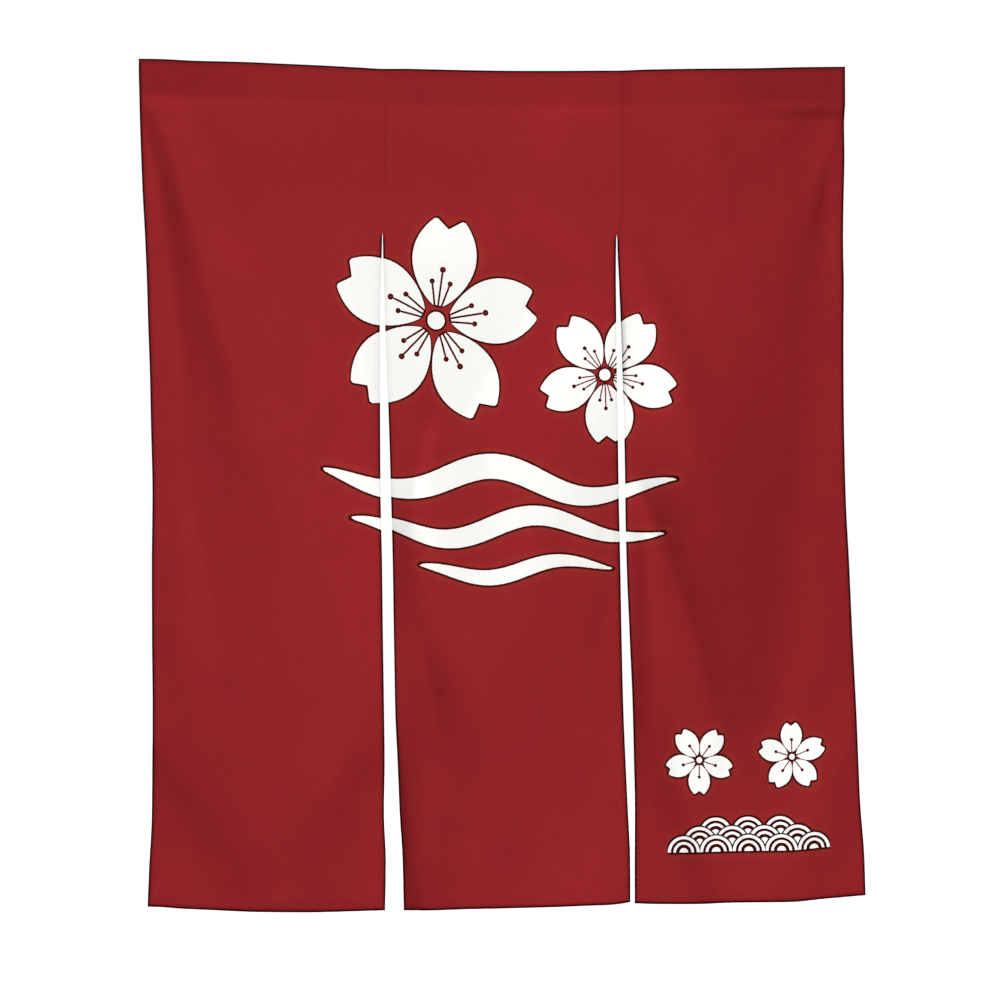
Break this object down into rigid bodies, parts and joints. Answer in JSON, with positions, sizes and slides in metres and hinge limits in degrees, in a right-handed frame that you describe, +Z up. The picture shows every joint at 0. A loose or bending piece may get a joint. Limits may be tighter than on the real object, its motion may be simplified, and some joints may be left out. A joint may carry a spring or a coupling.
{
  "type": "noren curtain",
  "caption": "Doorway curtain of red cotton widths sewn edge to edge at the top, with slits between them below, a sleeve for a rod along the top and folded bottom hems.",
  "frame": {"origin": "middle of the curtain's top edge, in the middle of the front layer of cloth", "axes": "+Z up, +X to the right seen from the front, front faces -Y"},
  "size_m": [1.0312, 0.0387, 1.2024],
  "materials": {
    "cloth_red": "matt plain-weave cotton dyed deep red, with white undyed motifs"
  },
  "bodies": {
    "root": {"panel_left": "cloth_red", "panel_middle": "cloth_red", "panel_right": "cloth_red"}
  },
  "joints": []
}
